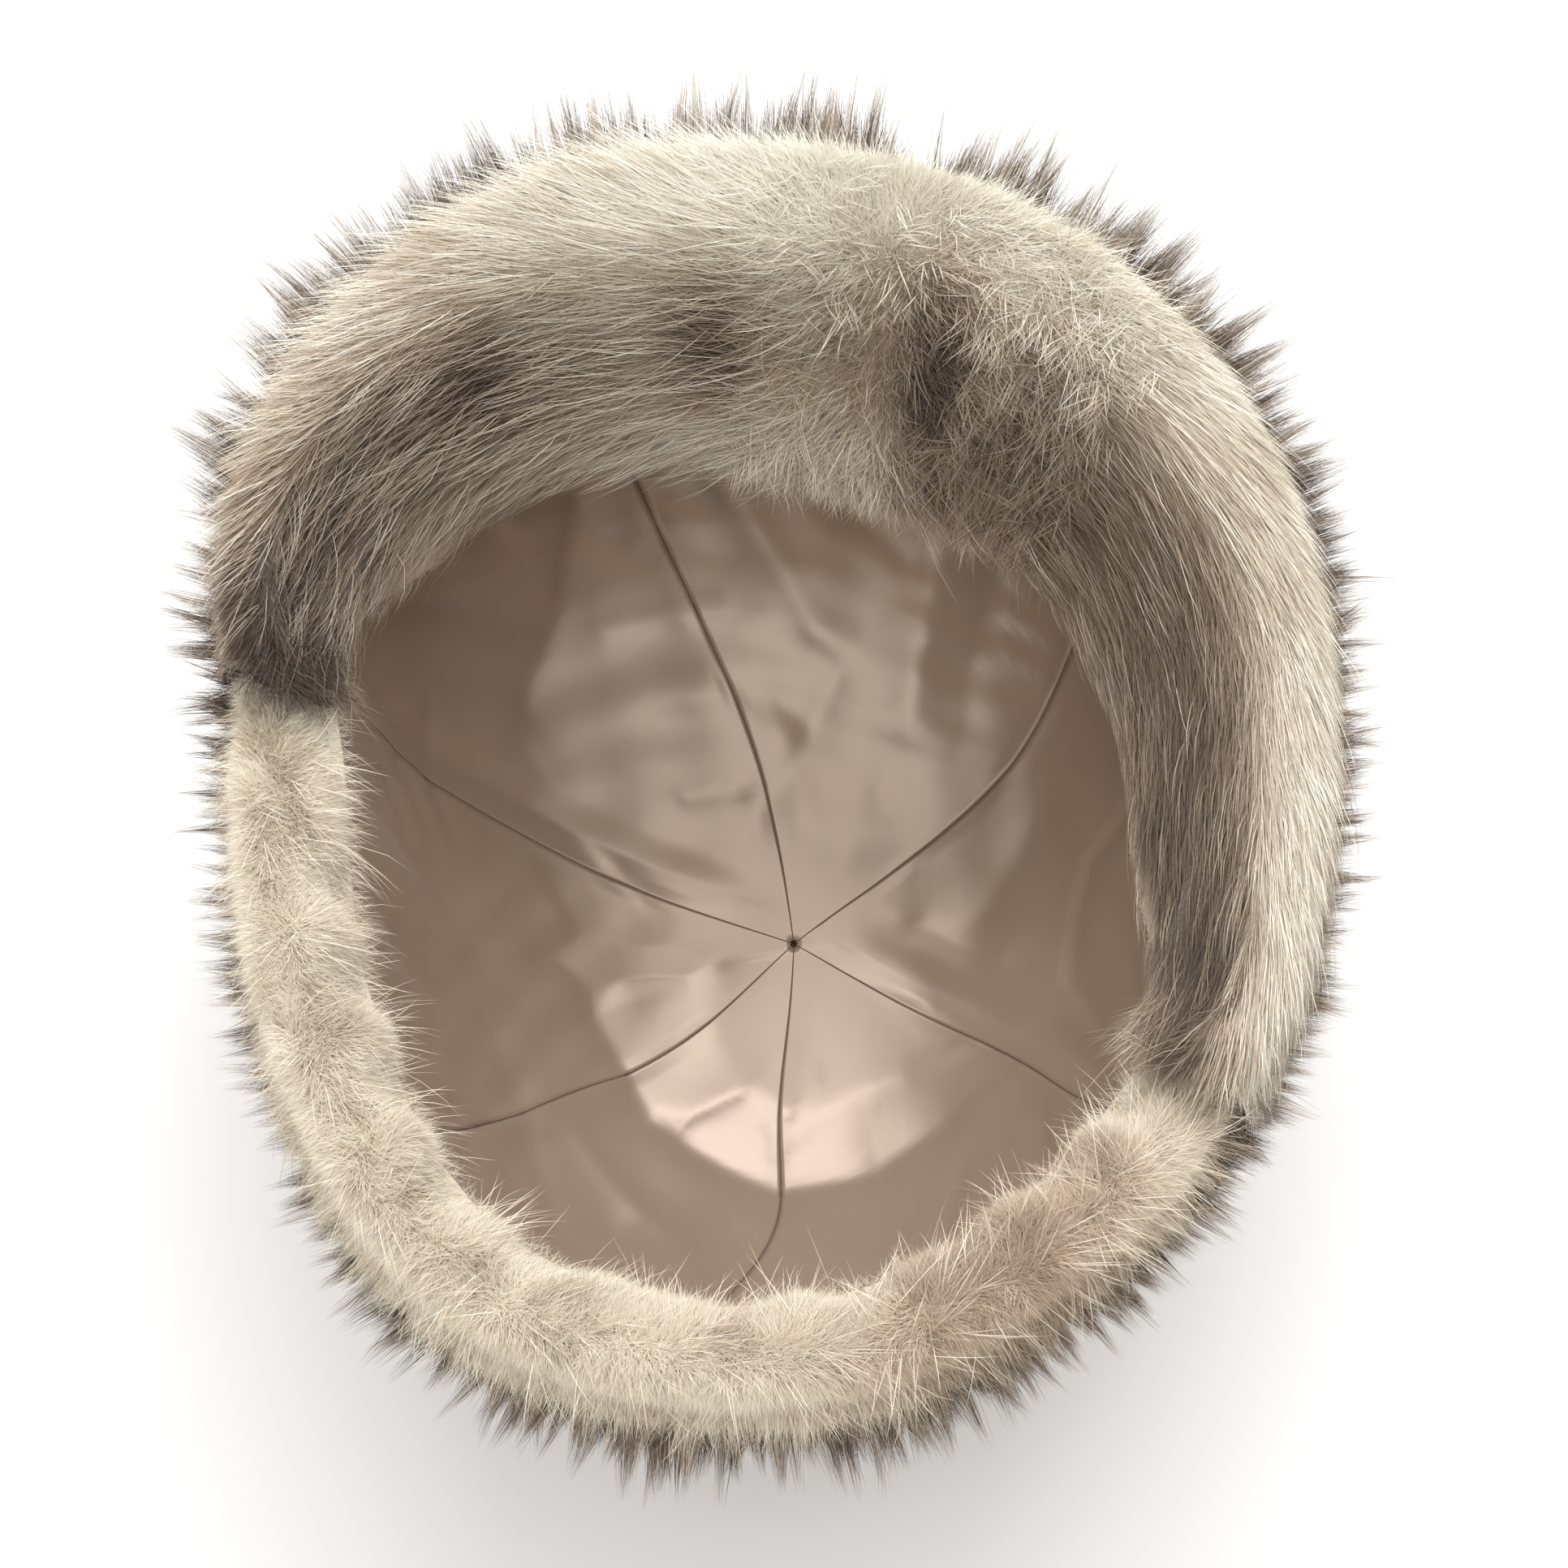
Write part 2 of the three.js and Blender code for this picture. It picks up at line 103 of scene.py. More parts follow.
# Creases along lines of bearings and climbs, with widths and heights in millimetres. To the right
# of its line a crease is steep times as wide, and sharp says how round it is.
CREASES = (
    dict(line=((186, 0.34), (204, 0.33), (222, 0.31), (244, 0.32), (266, 0.36), (288, 0.38), (306, 0.39)),
         wide=14, height=-2.4, steep=0.45, sharp=1.2),
    dict(line=((180, 0.2), (215, 0.17), (244, 0.2), (270, 0.25), (306, 0.28)),
         wide=14, height=-1.7, steep=2.2, sharp=1.6),
    dict(line=((187, 0.4), (189, 0.26), (192, 0.14)), wide=16, height=-2.2, sharp=1.5),
    dict(line=((183, 0.95), (194, 0.7), (204, 0.5)), wide=12, height=-2.2, steep=0.6),
    dict(line=((172, 0.8), (178, 0.62), (192, 0.5)), wide=9, height=-1.6, steep=0.6),
    dict(line=((240, 0.74), (236, 0.62), (242, 0.52)), wide=7, height=-1.6, steep=0.6),
    dict(line=((212, 0.72), (218, 0.6), (222, 0.5)), wide=5, height=1.3, steep=0.6),
    dict(line=((106, 0.74), (98, 0.56), (86, 0.4)), wide=9, height=-2.4, sharp=2),
    dict(line=((94, 0.74), (86, 0.6), (72, 0.52)), wide=9, height=1.9, sharp=2),
    dict(line=((70, 0.62), (67, 0.48), (64, 0.36)), wide=8, height=-2.0, steep=0.7),
    dict(line=((58, 0.54), (54, 0.42)), wide=6, height=1.0, steep=0.6),
    dict(line=((92, 0.3), (78, 0.26), (62, 0.25)), wide=9, height=1.5),
    dict(line=((86, 0.16), (62, 0.15)), wide=7, height=-1.2, steep=1),
    dict(line=((16, 0.68), (8, 0.52), (344, 0.5), (334, 0.6)), wide=4, height=-1.1, steep=0.4, sharp=0.8),
    dict(line=((350, 0.36), (4, 0.22)), wide=9, height=1.3),
    dict(line=((24, 0.42), (8, 0.34)), wide=9, height=-1.3, steep=1),
    dict(line=((122, 0.45), (112, 0.43), (102, 0.43)), wide=4, height=-0.9, steep=0.4, sharp=0.5),
    dict(line=((126, 0.23), (110, 0.21)), wide=4, height=-0.7, steep=0.4, sharp=0.5),
    dict(line=((130, 0.76), (125, 0.6), (116, 0.55)), wide=9, height=1.8, steep=0.4, sharp=2),
    dict(line=((142, 0.7), (134, 0.54), (122, 0.48)), wide=9, height=-1.9, steep=1),
    dict(line=((164, 0.74), (173, 0.66)), wide=2.4, height=-0.9, sharp=0.5),
    dict(line=((163, 0.67), (171, 0.6)), wide=2.2, height=-0.9, sharp=0.5),
    dict(line=((161, 0.6), (168, 0.55)), wide=2.2, height=-0.8, sharp=0.5),
    dict(line=((160, 0.57), (152, 0.6)), wide=2.2, height=-0.7, sharp=0.5),
    dict(line=((52, 0.5), (44, 0.53)), wide=2, height=-0.8, steep=0.6, sharp=0.4),
    dict(line=((54, 0.54), (45, 0.57)), wide=2, height=-0.8, steep=0.6, sharp=0.4),
    dict(line=((56, 0.58), (46, 0.61)), wide=2, height=-0.8, steep=0.6, sharp=0.4),
    dict(line=((316, 0.74), (310, 0.64), (316, 0.56)), wide=4, height=-1.1, sharp=0.8),
    dict(line=((304, 0.78), (300, 0.7), (310, 0.62)), wide=4, height=-1.0, sharp=0.8),
    dict(line=((268, 0.24), (278, 0.21)), wide=2.4, height=-0.35, steep=0.6, sharp=0.8),
    dict(line=((242, 0.66), (232, 0.55), (214, 0.5)), wide=9, height=-1.1, sharp=1.5),
    dict(line=((226, 0.4), (238, 0.3), (250, 0.22)), wide=6, height=-1.0, sharp=1),
    dict(line=((258, 0.6), (250, 0.48), (228, 0.44)), wide=7, height=1.0, steep=0.6, sharp=1),
    dict(line=((118, 0.62), (126, 0.5), (140, 0.47)), wide=8, height=-1.6, steep=0.4, sharp=1),
    dict(line=((80, 0.36), (88, 0.24), (104, 0.18)), wide=7, height=1.1, sharp=1.5),
    dict(line=((300, 0.5), (292, 0.6), (280, 0.68)), wide=6, height=-1.1, sharp=1),
)


def smooth_curve(before, here, after, beyond, t):
    """A share t of the way from here to after, on a smooth curve through all four."""
    bend = 2 * before - 5 * here + 4 * after - beyond
    twist = 3 * (here - after) + beyond - before
    return here + 0.5 * t * (after - before + t * (bend + t * twist))


def smooth_column(values, share, closed=False):
    """Reads a table column of equal steps with a smooth curve through its rows."""
    values = np.asarray(values, float)
    count = len(values)
    place = np.asarray(share, float) * (count if closed else count - 1)
    start = np.floor(place).astype(int)
    if not closed:
        start = np.clip(start, 0, count - 2)
    rows = [start + step for step in (-1, 0, 1, 2)]
    rows = [row % count if closed else np.clip(row, 0, count - 1) for row in rows]
    return smooth_curve(*(values[row] for row in rows), place - start)


def outline(column, bearing):
    """One of the hat's outlines at bearings in degrees."""
    return smooth_column(OUTLINE[column], (np.asarray(bearing) % 360) / 360, closed=True)


def polar(bearing, radius, height):
    """Points round the hat's axis."""
    angle = np.radians(bearing)
    x = AXIS[0] + radius * np.cos(angle)
    y = AXIS[1] + radius * np.sin(angle)
    return np.stack(np.broadcast_arrays(x, y, height), axis=-1)


def blend(low, high, share):
    return low + (high - low) * share


def ease(value, low, high):
    """Rises smoothly from 0 to 1 as value goes from low to high."""
    share = np.clip((np.asarray(value, float) - low) / (high - low), 0, 1)
    return share * share * (3 - 2 * share)


def bell(value, middle, wide):
    """1 at the middle, falling off over a width."""
    return np.exp(-((value - middle) / wide) ** 2)


def dome_section(climb, roundness):
    """The reach and the rise of a dome at shares of the way up it, both from 0 to 1."""
    up = climb ** (roundness / 2)
    down = (1 - climb) ** (roundness / 2)
    angle = up / (up + down) * math.pi / 2
    return np.sin(angle) ** (2 / roundness), 1 - np.maximum(np.cos(angle), 0) ** (2 / roundness)


def edge_radius(bearing):
    """How far the lining's edge lies from the axis."""
    return outline("crest", bearing) - RIM_WIDTH


def lining_point(bearing, climb):
    """The lining without its folds. climb goes from 0 at the tip to 1 at the edge."""
    reach, rise = dome_section(np.clip(climb, 0, 1), LINING_ROUNDNESS)
    radius = edge_radius(bearing) * reach
    return polar(bearing, radius, blend(LINING_TIP, SEAT_HEIGHT, rise))


def unit(vectors):
    return vectors / np.maximum(np.linalg.norm(vectors, axis=-1, keepdims=True), 1e-9)


def behind_lining(bearing, climb, distance):
    """The lining's surface moved away from the head by a distance."""
    step = 0.01
    low = np.clip(climb - step, 0.001, 1)
    along = lining_point(bearing, climb + step) - lining_point(bearing, low)
    side = np.maximum(climb, 0.01)
    around = lining_point(bearing + 1, side) - lining_point(bearing - 1, side)
    outwards = unit(np.cross(around, along))
    return lining_point(bearing, climb) + outwards * np.asarray(distance)[..., None]


def ripples(x, y, size, seed):
    """Soft uneven waves of about the given size, mostly from -1 to 1."""
    waves = 7
    dice = np.random.default_rng(seed)
    total = 0
    for _ in range(waves):
        heading = dice.uniform(0, 2 * math.pi)
        pace = 2 * math.pi / (size * dice.uniform(0.7, 1.6))
        along = (x * math.cos(heading) + y * math.sin(heading)) * pace
        total = total + np.sin(along + dice.uniform(0, 6.3))
    return total / waves ** 0.5 / 1.4


def sheet_mesh(place, steps):
    """A grid of steps across and up, whose points lie where place says, in millimetres."""
    grid = bmesh.new()
    bmesh.ops.create_grid(grid, x_segments=steps[0], y_segments=steps[1], size=0.5)
    shares = np.array([vertex.co[:2] for vertex in grid.verts]) + 0.5
    for vertex, point in zip(grid.verts, place(shares[:, 0], shares[:, 1])):
        vertex.co = Vector(point) * MM
    return grid


def piece_of(name, grid, material, smooth=True):
    mesh = bpy.data.meshes.new(name)
    grid.to_mesh(mesh)
    grid.free()
    if smooth:
        mesh.shade_smooth()
    mesh.materials.append(material)
    piece = bpy.data.objects.new(name, mesh)
    bpy.context.collection.objects.link(piece)
    return piece


class Wire:
    """A socket of a material. Sums with it add Math nodes."""

    def __init__(self, tree, socket):
        self.tree = tree
        self.socket = socket

    def _sum(self, operation, first, second):
        node = self.tree.nodes.new("ShaderNodeMath")
        node.operation = operation
        for slot, value in zip(node.inputs, (first, second)):
            if isinstance(value, Wire):
                self.tree.links.new(value.socket, slot)
            else:
                slot.default_value = value
        return Wire(self.tree, node.outputs[0])

    def __add__(self, other):
        return self._sum("ADD", self, other)

    def __sub__(self, other):
        return self._sum("SUBTRACT", self, other)

    def __rsub__(self, other):
        return self._sum("SUBTRACT", other, self)

    def __rmul__(self, other):
        return self._sum("MULTIPLY", other, self)

    def __pow__(self, other):
        return self._sum("POWER", self, other)


class Finish:
    """A material, built from nodes."""

    def __init__(self, name):
        self.material = bpy.data.materials.new(name)
        self.material.use_nodes = True
        self.tree = self.material.node_tree
        self.tree.nodes.clear()

    def node(self, kind, settings=None, inputs=None, output=0):
        """Adds a node. Its settings are set first, then its inputs, by name or number."""
        node = self.tree.nodes.new(f"ShaderNode{kind}")
        for key, value in (settings or {}).items():
            if key == "stops":
                ramp = node.color_ramp.elements
                while len(ramp) < len(value):
                    ramp.new(0.5)
                for stop, (place, colour) in zip(ramp, value):
                    stop.position = place
                    stop.color = (*colour, 1)
            else:
                setattr(node, key, value)
        for key, value in (inputs or {}).items():
            if isinstance(value, Wire):
                self.tree.links.new(value.socket, node.inputs[key])
            else:
                node.inputs[key].default_value = value
        return Wire(self.tree, node.outputs[output]) if node.outputs else None

    def surface(self, inputs):
        shader = self.node("BsdfPrincipled", inputs=inputs)
        self.node("OutputMaterial", inputs={"Surface": shader})
        return self.material


def satin_finish():
    """Taupe satin with a soft sheen, fine wrinkles and a fine weave."""
    satin = Finish("satin")
    place = satin.node("TexCoord", output="Object")
    cloudy = satin.node("TexNoise", inputs={"Vector": place, "Scale": 14, "Detail": 3}, output="Fac")
    colour = satin.node(
        "ValToRGB",
        {"stops": ((0.3, (0.325, 0.242, 0.184)), (0.7, (0.39, 0.298, 0.23)))},
        {"Fac": cloudy},
    )
    wrinkles = satin.node("TexNoise", inputs={"Vector": place, "Scale": 75, "Detail": 2}, output="Fac")
    weave = satin.node("TexNoise", inputs={"Vector": place, "Scale": 2600, "Detail": 1}, output="Fac")
    crease = satin.node("Bump", inputs={"Strength": 0.25, "Distance": 0.0007, "Height": wrinkles})
    relief = satin.node(
        "Bump", inputs={"Strength": 0.12, "Distance": 0.0001, "Height": weave, "Normal": crease},
    )
    return satin.surface({
        "Base Color": colour, "Metallic": 0.32, "Roughness": 0.38, "Specular IOR Level": 1.0,
        "Sheen Weight": 0.1, "Sheen Roughness": 0.4, "Normal": relief,
    })


SATIN_SHEEN = satin_finish()


def seam_bearing(seam, climb):
    """A seam's bearing. Seam 6 is seam 0 after a whole turn."""
    return smooth_column(SEAMS[seam % 6], climb) + 360 * (seam // 6)


def flat_place(bearing, climb):
    """Places on the lining laid out flat round its tip, in millimetres."""
    angle = np.radians(bearing)
    return np.stack((np.cos(angle), np.sin(angle)), axis=-1) * np.asarray(climb)[..., None] * LINING_ARC


def crease(bearing, climb, line, wide, height, steep=0.5, sharp=3.0):
    """A ridge or a hollow along a line of bearings and climbs."""
    spots = flat_place(bearing, climb)
    stops = flat_place(*np.array(line, float).T)
    nearest = np.full(len(spots), 1e9)
    side = np.ones(len(spots))
    for start, end in zip(stops[:-1], stops[1:]):
        run = end - start
        share = np.clip((spots - start) @ run / (run @ run), 0, 1)
        off = spots - start - share[:, None] * run
        distance = np.linalg.norm(off, axis=1)
        closer = distance < nearest
        nearest = np.where(closer, distance, nearest)
        side = np.where(closer, (run[0] * off[:, 1] - run[1] * off[:, 0]) / np.linalg.norm(run), side)
    half = wide * blend(steep, 1, ease(side, -2, 2))
    return height * np.exp(-(np.hypot(nearest, sharp) - sharp) / half * 1.4)


def seam_dip(distance):
    """The slope from a seam down to its crease and back up, from 0 to 1."""
    down = np.clip(distance / DIP_DISTANCE, 0, 1)
    return down - ease(distance, DIP_DISTANCE - 0.5, DIP_DISTANCE + DIP_RISE)


def looseness(climb):
    """1 where the satin hangs free, and 0 near the edge, where it lies against the wall."""
    return 1 - ease(climb, 0.7, 0.92)


def creased(bearing, climb):
    """How far the creases that run on over the seams stand into the hat."""
    height = sum(crease(bearing, climb, **each) for each in CREASES) * looseness(climb)
    return np.maximum(height, -DEEPEST)


def gore_relief(gore, across, climb, bearing):
    """How far one gore's own shape stands into the hat. It is level at its seams."""
    point = lining_point(bearing, climb)
    radius = np.hypot(point[:, 0] - AXIS[0], point[:, 1] - AXIS[1])
    width = np.radians(seam_bearing(gore + 1, climb) - seam_bearing(gore, climb)) * radius
    first, second = across * width, (1 - across) * width
    from_seam = np.minimum(first, second)
    slant = climb * LINING_ARC + from_seam * 0.6
    pucker = ripples(slant, 30 * (across > 0.5), PUCKER_LENGTH, 40 + gore) * np.exp(-from_seam / 3.5)
    spot = point[:, 0], point[:, 1] + point[:, 2]
    soft = ripples(*spot, SOFT_LENGTH, 60 + gore)
    slack = ripples(*spot, SLACK_LENGTH, 70 + gore)
    waves = PUCKER_HEIGHT * pucker + SOFT_HEIGHT * soft + SLACK[gore] * slack
    uneven = np.minimum(1, from_seam / 3) * waves
    drawn = ease(climb, 0.04, 0.3) * looseness(climb)
    dips = DIPS[gore][0] * seam_dip(first) + DIPS[gore][1] * seam_dip(second)
    dips = dips * ease(climb, 0.03, 0.14) * looseness(climb)
    return drawn * (GORE_BILLOW * np.sin(math.pi * across) + uneven) - dips


def gore_place(gore):
    """The place of each point of a gore, from its share across and its share up."""
    def place(across, up):
        climb = blend(TIP_HOLE, 1, up)
        bearing = blend(seam_bearing(gore, climb), seam_bearing(gore + 1, climb), across)
        reach, _ = dome_section(climb, LINING_ROUNDNESS)
        radius = edge_radius(bearing) * reach
        inset = np.degrees(SEAM_GAP / 2 / np.maximum(radius, 1)) * (1 - 2 * across)
        relief = np.maximum(creased(bearing, climb) + gore_relief(gore, across, climb, bearing), -DEEPEST)
        return behind_lining(bearing + inset, climb, -relief)
    return place


def gore_cut(gore):
    """Width and length of the cloth that a gore is cut from, in metres."""
    climbs = np.linspace(TIP_HOLE, 1, 60)
    middle = blend(seam_bearing(gore, climbs), seam_bearing(gore + 1, climbs), 0.5)
    length = np.linalg.norm(np.diff(lining_point(middle, climbs), axis=0), axis=1).sum()
    bearings = np.linspace(seam_bearing(gore, 1.0), seam_bearing(gore + 1, 1.0), 30)
    width = np.linalg.norm(np.diff(lining_point(bearings, np.ones(30)), axis=0), axis=1).sum()
    return width * MM, length * MM


for gore in range(6):
    node = f"lining_gore_{gore + 1}"
    grid = sheet_mesh(gore_place(gore), GORE_STEPS)
    satin_piece = piece_of(f"satin_gore_{gore + 1}", grid, SATIN_SHEEN)
    wall = satin_piece.modifiers.new("thickness", "SOLIDIFY")
    wall.thickness = SATIN_THICKNESS * MM
    wall.offset = 1
    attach(satin_piece, "root")
    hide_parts(node)
    gore_cut(gore)

# The seams: brown thread closes each one in a row of close stitches, pulled a little under the
# satin. It is made as one narrow strip along each seam, a little higher along its middle.
THREAD_COLOUR = (0.12, 0.07, 0.045)
THREAD_WIDTH = 0.34
THREAD_DEPTH = 0.15
THREAD_RISE = 0.25
THREAD_STEPS = (4, 60)


def thread_place(seam):
    def place(across, up):
        climb = blend(0.002, 1, up)
        bearing = seam_bearing(seam, climb)
        reach, _ = dome_section(climb, LINING_ROUNDNESS)
        radius = np.maximum(edge_radius(bearing) * reach, 0.5)
        aside = np.degrees((across - 0.5) * THREAD_WIDTH / radius)
        sunk = THREAD_DEPTH - THREAD_RISE * np.sin(math.pi * across)
        return behind_lining(bearing + aside, climb, sunk - creased(bearing, climb))
    return place


thread_material = Finish("seam_thread").surface({"Base Color": (*THREAD_COLOUR, 1), "Roughness": 0.7})
threads = bmesh.new()
for seam in range(6):
    strip = sheet_mesh(thread_place(seam), THREAD_STEPS)
    strip_mesh = bpy.data.meshes.new("strip")
    strip.to_mesh(strip_mesh)
    strip.free()
    threads.from_mesh(strip_mesh)
    bpy.data.meshes.remove(strip_mesh)
seam_threads = piece_of("seam_threads", threads, thread_material)
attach(seam_threads, "root")

# The crown: mink pelts sewn into a dome, with dense fur that lies from its tip to the edge and
# stands off round the opening. The skin side is hidden by the lining.
FUR_ROUNDNESS = 2.6
FLATTENED = 4                 # how far the tip is pressed flat on the floor
CROWN_STEPS = (120, 64)

# Mink from its darkest to its palest
MINK_TONES = (
    (0.0, (0.03, 0.019, 0.013)),
    (0.25, (0.125, 0.083, 0.056)),
    (0.5, (0.34, 0.247, 0.172)),
    (0.75, (0.65, 0.54, 0.42)),
    (1.0, (0.93, 0.9, 0.8)),
)


def hair_finish(name, tip_shift, root_shift, roughness, sheen, tint=(1, 1, 1)):
    """Fur whose tone changes along it. Each hair's map holds its tone and the place along it."""
    hair = Finish(name)
    spot = hair.node("UVMap", {"uv_map": "OFBake"})
    tone = hair.node("SeparateXYZ", inputs={"Vector": spot}, output="X")
    along = hair.node("SeparateXYZ", inputs={"Vector": spot}, output="Y")
    shade = tone + tip_shift * along ** 3 + root_shift * (1 - along) ** 2
    colour = hair.node("ValToRGB", {"stops": MINK_TONES}, {"Fac": shade})
    multiply = {"data_type": "RGBA", "blend_type": "MULTIPLY"}
    tinted = hair.node("Mix", multiply, {0: 1.0, 6: colour, 7: (*tint, 1)}, output=2)
    return hair.surface({
        "Base Color": tinted, "Roughness": roughness, "Specular IOR Level": 0.5,
        "Sheen Weight": sheen, "Sheen Roughness": 0.5,
    })


def underfur_finish(name):
    """Dense underfur seen between the hairs, toned by the piece's own attribute."""
    under = Finish(name)
    tone = under.node("Attribute", {"attribute_name": "tone"}, output="Fac")
    place = under.node("TexCoord", output="Object")
    fine = under.node("TexNoise", inputs={"Vector": place, "Scale": 900, "Detail": 2}, output="Fac")
    colour = under.node("ValToRGB", {"stops": MINK_TONES}, {"Fac": tone - 0.1 + 0.2 * fine})
    bump = under.node("Bump", inputs={"Strength": 0.7, "Distance": 0.001, "Height": fine})
    return under.surface({"Base Color": colour, "Roughness": 0.9, "Sheen Weight": 0.3, "Normal": bump})


class Pelt:
    """A fur surface between two bearings and two shares across its section. place gives the fur's
    outer face there, and depth how far under it the skin lies."""

    def __init__(self, place, bearings, shares, depth):
        self.place = place
        self.bearings = bearings
        self.shares = shares
        self.depth = depth

    def frame(self, bearing, across):
        """Skin points, outward normals, unit directions along and across, and their scales."""
        step = 0.25
        small = 0.002
        along = self.place(bearing + step, across) - self.place(bearing - step, across)
        up = self.place(bearing, across + small) - self.place(bearing, across - small)
        away = unit(np.cross(along, up))
        skin = self.place(bearing, across) - away * self.depth(bearing, across)[..., None]
        scales = np.linalg.norm(along, axis=-1) / (2 * step), np.linalg.norm(up, axis=-1) / (2 * small)
        return skin, away, unit(along), unit(np.cross(away, along)), scales

    def skin(self, bearing, across):
        return self.frame(bearing, across)[0]

    def scatter(self, dice, count, density):
        """Bearings and shares of evenly spread points, times a density."""
        columns, rows = 240, 80
        bearings = np.linspace(*self.bearings, columns + 1)
        shares = np.linspace(*self.shares, rows + 1)
        middles = np.meshgrid((bearings[1:] + bearings[:-1]) / 2, (shares[1:] + shares[:-1]) / 2)
        bearing, across = middles[0].ravel(), middles[1].ravel()
        sizes = self.frame(bearing, across)[4]
        weight = sizes[0] * sizes[1] * density(bearing, across)
        chosen = dice.choice(len(weight), size=count, p=weight / weight.sum())
        aside = dice.uniform(-0.5, 0.5, count) * (bearings[1] - bearings[0])
        along = dice.uniform(-0.5, 0.5, count) * (shares[1] - shares[0])
        return bearing[chosen] + aside, across[chosen] + along


BLADE_WIDTHS = np.array((0.8, 1.0, 0.75))    # shares of a hair's width at the steps up to its tip
MAP_WIDTH = 0.012             # of each hair's strip on the tone map


def hair_piece(name, path, side, width, tone, material):
    """Joins tapered blades into one piece. path is steps by hairs by 3, in millimetres."""
    steps, hairs = path.shape[:2]
    taper = BLADE_WIDTHS[:steps - 1, None, None]
    half = side[None] * (width[None, :, None] * taper / 2)
    edges = np.stack((path[:-1] - half, path[:-1] + half), axis=1).reshape(2 * (steps - 1), hairs, 3)
    points = np.concatenate((edges, path[-1:])).transpose(1, 0, 2)
    corners = []
    for low in range(0, 2 * (steps - 2), 2):
        corners += [(low, low + 1, low + 3), (low, low + 3, low + 2)]
    corners.append((2 * steps - 4, 2 * steps - 3, 2 * steps - 2))
    each = 2 * steps - 1
    faces = (np.arange(hairs)[:, None, None] * each + np.array(corners)).ravel()
    spots = np.empty((hairs, each, 2))
    sides = (-MAP_WIDTH / 2, MAP_WIDTH / 2) * (steps - 1) + (0,)
    spots[..., 0] = np.clip(tone, 0.01, 0.99)[:, None] + sides
    spots[..., 1] = blend(0.005, 0.995, np.append(np.repeat(np.arange(steps - 1) / (steps - 1), 2), 1))
    mesh = bpy.data.meshes.new(name)
    mesh.vertices.add(hairs * each)
    mesh.vertices.foreach_set("co", (points * MM).astype(np.float32).ravel())
    mesh.loops.add(len(faces))
    mesh.loops.foreach_set("vertex_index", faces.astype(np.int32))
    mesh.polygons.add(len(faces) // 3)
    mesh.polygons.foreach_set("loop_start", np.arange(0, len(faces), 3, dtype=np.int32))
    mesh.update(calc_edges=True)
    layer = mesh.uv_layers.new(name="OFBake")
    layer.uv.foreach_set("vector", spots.reshape(-1, 2)[faces].astype(np.float32).ravel())
    mesh.shade_smooth()
    mesh.materials.append(material)
    piece = bpy.data.objects.new(name, mesh)
    bpy.context.collection.objects.link(piece)
    return piece


def even(bearing, across):
    return np.ones(np.shape(bearing))


LOWEST_HAIR = 0.5             # millimetres over the floor
HAIR_LENGTHS = (0.7, 1.1)     # shares of their lock's length
HAIR_TURN = 0.45              # radians about its own length


def grow_fur(name, pelt, material, seed, locks, hairs, steps, length, width, spread, gather,
             heading, lift, tone, density=even, reach=even, disorder=0.2, uneven_tone=(0.06, 0.06)):
    """Grows fur in locks of hairs that lean together towards their tips.

    length and width are ranges in millimetres, and reach scales the length. spread is a lock's
    half width at its root, and gather how far its hairs come together. heading gives a direction
    along and across, and how disordered it is. lift gives the angles off the skin at root and
    tip, and tone the lightness, which varies by uneven_tone from lock to lock and from hair to
    hair."""
    dice = np.random.default_rng(seed)
    place = pelt.scatter(dice, locks, density)
    count = locks * hairs
    lock = np.repeat(np.arange(locks), hairs)
    sizes = pelt.frame(*place)[4]
    aside = dice.normal(0, spread, (count, 2))
    bearing = np.clip(place[0][lock] + aside[:, 0] / np.maximum(sizes[0][lock], 0.2), *pelt.bearings)
    across = np.clip(place[1][lock] + aside[:, 1] / np.maximum(sizes[1][lock], 1), *pelt.shares)
    point, away, along, up, _ = pelt.frame(bearing, across)
    go_along, go_up, mess = heading(*place)
    angle = np.arctan2(go_up, go_along) + dice.normal(0, 1, locks) * disorder * mess
    stray = np.clip(1.3 - 1.3 * gather, 0, 1)
    angle = angle[lock] + dice.normal(0, 0.5, count) * disorder * mess[lock] * stray
    flow = along * np.cos(angle)[:, None] + up * np.sin(angle)[:, None]
    uneven = dice.normal(1, 0.2, locks)[lock]
    low, high = (
        np.broadcast_to(angles, locks)[lock] * uneven * dice.normal(1, 0.25 * stray, count)
        for angles in lift(*place)
    )
    start = flow * np.cos(low)[:, None] + away * np.sin(low)[:, None]
    end = flow * np.cos(high)[:, None] + away * np.sin(high)[:, None]
    size = (dice.uniform(*length, locks) * reach(*place))[lock] * dice.uniform(*HAIR_LENGTHS, count)
    t = np.linspace(0, 1, steps + 1)[:, None, None]
    path = point + size[:, None] * (t * start + t ** 2 / 2 * (end - start))
    middle = point.reshape(locks, hairs, 3).mean(axis=1)[lock]
    path = path - gather * t ** 1.5 * (point - middle)
    path[..., 2] = np.maximum(path[..., 2], LOWEST_HAIR)
    turn = dice.normal(0, HAIR_TURN, count)[:, None]
    flat_side = unit(np.cross(flow, away))
    side = flat_side * np.cos(turn) + np.cross(flat_side, start) * np.sin(turn)
    shade = tone(*place) + dice.normal(0, uneven_tone[0], locks)
    shade = shade[lock] + dice.normal(0, uneven_tone[1], count)
    piece = hair_piece(name, path, side, dice.uniform(*width, count), shade, material)
    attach(piece, "root")


